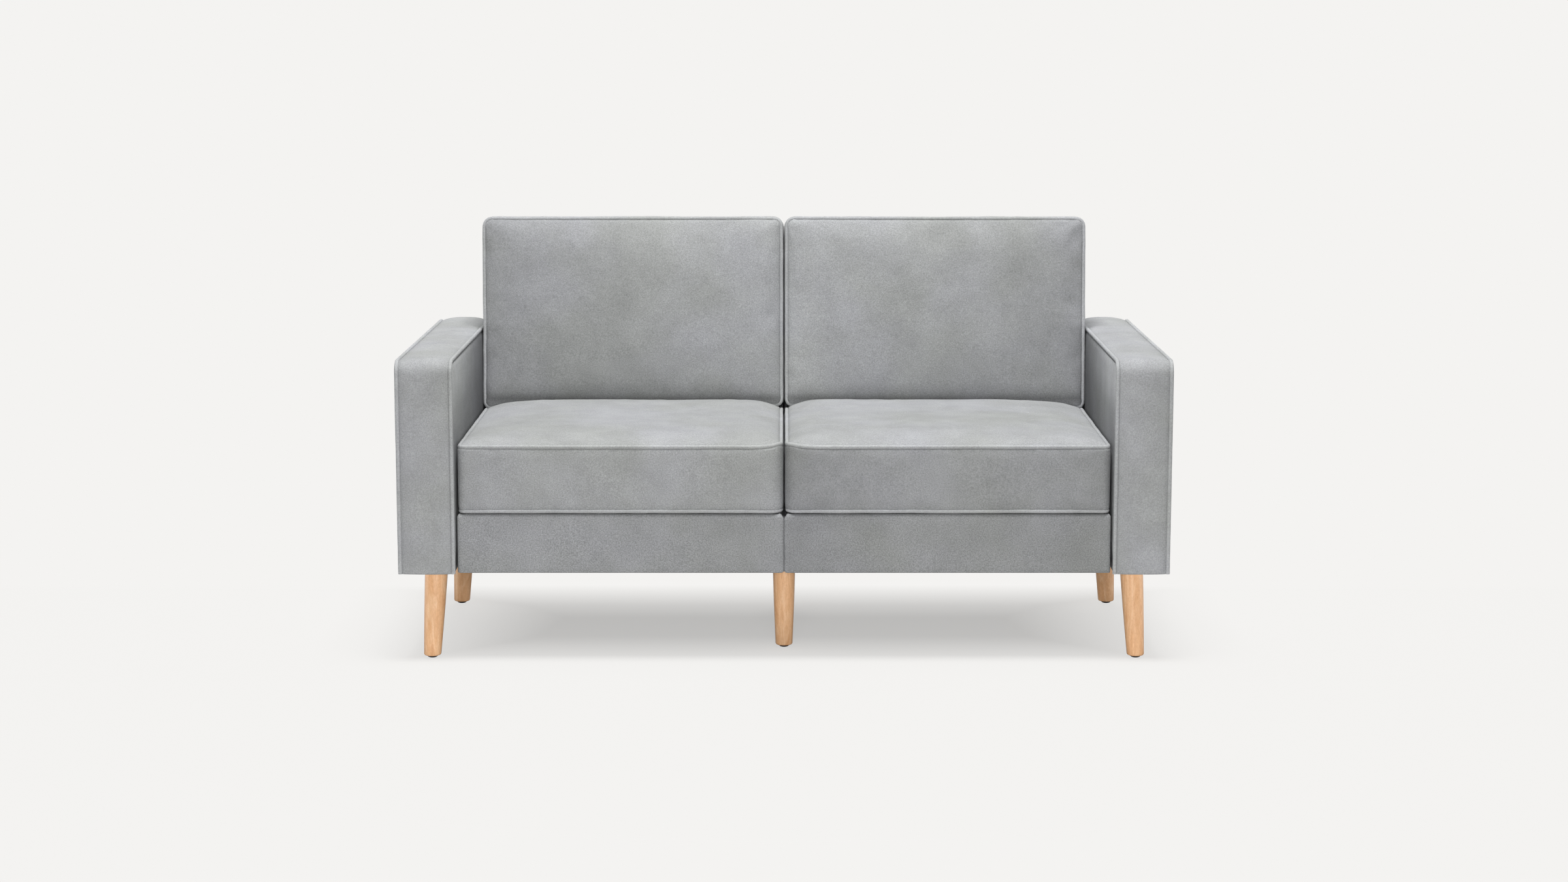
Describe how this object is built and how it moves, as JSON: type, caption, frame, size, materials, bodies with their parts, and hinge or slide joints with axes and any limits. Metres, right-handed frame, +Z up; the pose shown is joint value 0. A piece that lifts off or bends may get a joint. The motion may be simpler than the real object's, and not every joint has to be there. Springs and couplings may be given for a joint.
{
  "type": "two-seater sofa",
  "caption": "Compact upholstered sofa with squared padded arms, loose piped seat and back cushions, and tapered splayed wooden legs.",
  "frame": {"origin": "on the floor, under the middle of the sofa's footprint", "axes": "+X to the right of someone who looks at the sofa's front, +Y towards its back, +Z up"},
  "size_m": [1.524, 0.8334, 0.8411],
  "materials": {
    "upholstery": "matte",
    "leg_wood": "satin",
    "frame_timber": "matte",
    "board": "matte",
    "platform_cloth": "matte",
    "spring_steel": "satin",
    "zinc_steel": "satin",
    "glide_plastic": "matte"
  },
  "bodies": {
    "frame": {"arm_cover_left": "upholstery", "base_cover_left": "upholstery", "back_cover_left": "upholstery", "arm_cover_right": "upholstery", "base_cover_right": "upholstery", "back_cover_right": "upholstery", "arm_frame_left": "frame_timber", "base_frame_left": "frame_timber", "back_frame_left": "frame_timber", "arm_frame_right": "frame_timber", "base_frame_right": "frame_timber", "back_frame_right": "frame_timber", "arm_bottom_left": "board", "arm_bottom_right": "board", "seat_deck_left": "platform_cloth", "dust_cover_left": "platform_cloth", "seat_deck_right": "platform_cloth", "dust_cover_right": "platform_cloth", "zigzag_spring_left_1": "spring_steel", "zigzag_spring_left_2": "spring_steel", "zigzag_spring_left_3": "spring_steel", "zigzag_spring_left_4": "spring_steel", "zigzag_spring_right_1": "spring_steel", "zigzag_spring_right_2": "spring_steel", "zigzag_spring_right_3": "spring_steel", "zigzag_spring_right_4": "spring_steel", "leg_front_left": "leg_wood", "leg_front_centre": "leg_wood", "leg_front_right": "leg_wood", "leg_rear_left": "leg_wood", "leg_rear_centre": "leg_wood", "leg_rear_right": "leg_wood", "glide_front_left": "glide_plastic", "glide_front_centre": "glide_plastic", "glide_front_right": "glide_plastic", "glide_rear_left": "glide_plastic", "glide_rear_centre": "glide_plastic", "glide_rear_right": "glide_plastic", "leg_plate_front_left": "zinc_steel", "leg_plate_front_centre": "zinc_steel", "leg_plate_front_right": "zinc_steel", "leg_plate_rear_left": "zinc_steel", "leg_plate_rear_centre": "zinc_steel", "leg_plate_rear_right": "zinc_steel", "arm_bolt_left_front": "zinc_steel", "arm_bolt_left_rear": "zinc_steel", "arm_bolt_right_front": "zinc_steel", "arm_bolt_right_rear": "zinc_steel", "base_bolt_front": "zinc_steel", "base_bolt_rear": "zinc_steel", "back_bolt_left_inner": "zinc_steel", "back_bolt_left_outer": "zinc_steel", "back_bolt_right_inner": "zinc_steel", "back_bolt_right_outer": "zinc_steel"},
    "seat_left": {"seat_cushion_left": "upholstery"},
    "seat_right": {"seat_cushion_right": "upholstery"},
    "back_left": {"back_cushion_left": "upholstery"},
    "back_right": {"back_cushion_right": "upholstery"}
  },
  "joints": [
    {"name": "seat_left_slide", "type": "slide", "parent": "frame", "child": "seat_left", "axis": [0, -1, 0], "range_m": [0, 0.33]},
    {"name": "back_left_lift", "type": "slide", "parent": "frame", "child": "back_left", "axis": [0, 0.1045, 0.9945], "range_m": [0, 0.34]},
    {"name": "seat_right_slide", "type": "slide", "parent": "frame", "child": "seat_right", "axis": [0, -1, 0], "range_m": [0, 0.33]},
    {"name": "back_right_lift", "type": "slide", "parent": "frame", "child": "back_right", "axis": [0, 0.1045, 0.9945], "range_m": [0, 0.34]}
  ]
}
